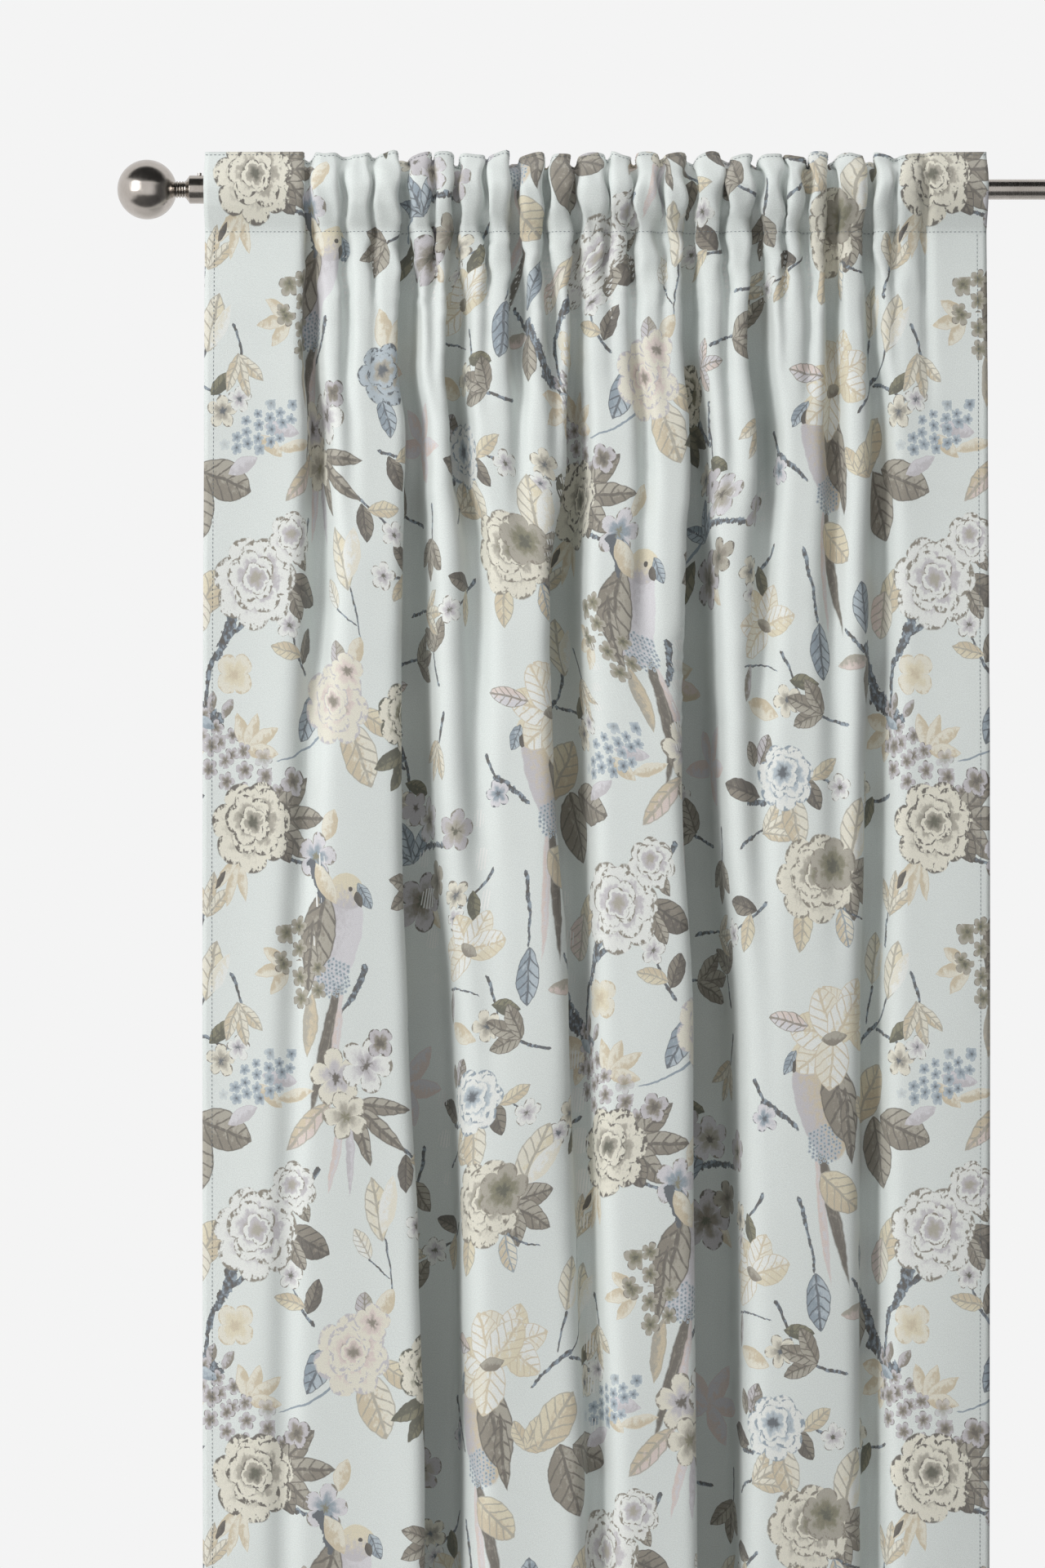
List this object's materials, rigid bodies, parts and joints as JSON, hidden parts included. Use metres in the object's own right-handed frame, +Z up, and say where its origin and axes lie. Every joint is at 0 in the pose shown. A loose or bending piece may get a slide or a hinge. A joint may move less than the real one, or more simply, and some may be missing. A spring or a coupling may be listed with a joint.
{
  "type": "window curtain on a telescopic pole",
  "caption": "Printed curtain gathered by a heading tape on a telescopic steel pole with ball finials; the pole extends, the curtain slides and its drop swings.",
  "frame": {"origin": "on the pole's axis, at the middle of the hung curtain", "axes": "+X along the pole to the right as seen from the room, +Z up, the printed front faces -Y"},
  "size_m": [1.1085, 0.104, 2.4001],
  "materials": {
    "pole_steel": "satin brushed along the tube",
    "finial_steel": "satin turned",
    "zinc_fasteners": "zinc plated",
    "bush_plastic": "matt",
    "sleeve_plastic": "matt",
    "printed_cloth": "plain-woven cotton with a large flower print",
    "tape": "woven white tape",
    "thread": "twisted sewing thread",
    "label": "blank satin ribbon"
  },
  "bodies": {
    "pole": {"outer_tube": "pole_steel", "mouth_bush": "bush_plastic"},
    "inner_pole": {"inner_tube": "pole_steel", "tail_bush": "bush_plastic", "finial_sleeve": "sleeve_plastic"},
    "heading": {"heading_cloth": "printed_cloth", "heading_tape": "tape", "top_stitching": "thread", "lower_stitching": "thread", "tape_loop_1": "tape", "tape_loop_2": "tape", "tape_loop_3": "tape", "tape_loop_4": "tape", "tape_loop_5": "tape", "tape_loop_6": "tape", "tape_loop_7": "tape", "tape_loop_8": "tape"},
    "drop": {"panel_cloth": "printed_cloth", "left_side_hem": "printed_cloth", "right_side_hem": "printed_cloth", "bottom_hem": "printed_cloth", "left_side_stitching": "thread", "right_side_stitching": "thread", "bottom_stitching": "thread", "care_label": "label"},
    "left_finial": {"left_collar": "finial_steel", "left_neck": "finial_steel", "left_stud": "zinc_fasteners"},
    "left_knob": {"left_ball": "finial_steel"},
    "left_grub": {"left_set_screw": "zinc_fasteners"},
    "right_finial": {"right_collar": "finial_steel", "right_neck": "finial_steel", "right_stud": "zinc_fasteners"},
    "right_knob": {"right_ball": "finial_steel"},
    "right_grub": {"right_set_screw": "zinc_fasteners"}
  },
  "joints": [
    {"name": "tube_extend", "type": "slide", "parent": "pole", "child": "inner_pole", "axis": [1, 0, 0], "range_m": [-0.05, 0.25]},
    {"name": "curtain_slide", "type": "slide", "parent": "pole", "child": "heading", "axis": [1, 0, 0], "range_m": [0, 0.095]},
    {"name": "drop_swing", "type": "hinge", "parent": "heading", "child": "drop", "pos_m": [0, 0, -0.0455], "axis": [1, 0, 0], "range_deg": [-30, 30]},
    {"name": "left_finial_pull", "type": "slide", "parent": "pole", "child": "left_finial", "axis": [-1, 0, 0], "range_m": [0, 0.05]},
    {"name": "left_ball_turn", "type": "hinge", "parent": "left_finial", "child": "left_knob", "pos_m": [-0.44503, 0, 0], "axis": [-1, 0, 0], "continuous": true},
    {"name": "left_screw_turn", "type": "hinge", "parent": "left_finial", "child": "left_grub", "pos_m": [-0.393, 0, 0.014], "axis": [0, 0, 1], "continuous": true},
    {"name": "right_finial_pull", "type": "slide", "parent": "inner_pole", "child": "right_finial", "axis": [1, 0, 0], "range_m": [0, 0.05]},
    {"name": "right_ball_turn", "type": "hinge", "parent": "right_finial", "child": "right_knob", "pos_m": [0.60453, 0, 0], "axis": [1, 0, 0], "continuous": true},
    {"name": "right_screw_turn", "type": "hinge", "parent": "right_finial", "child": "right_grub", "pos_m": [0.5525, 0, 0.014], "axis": [0, 0, 1], "continuous": true}
  ]
}
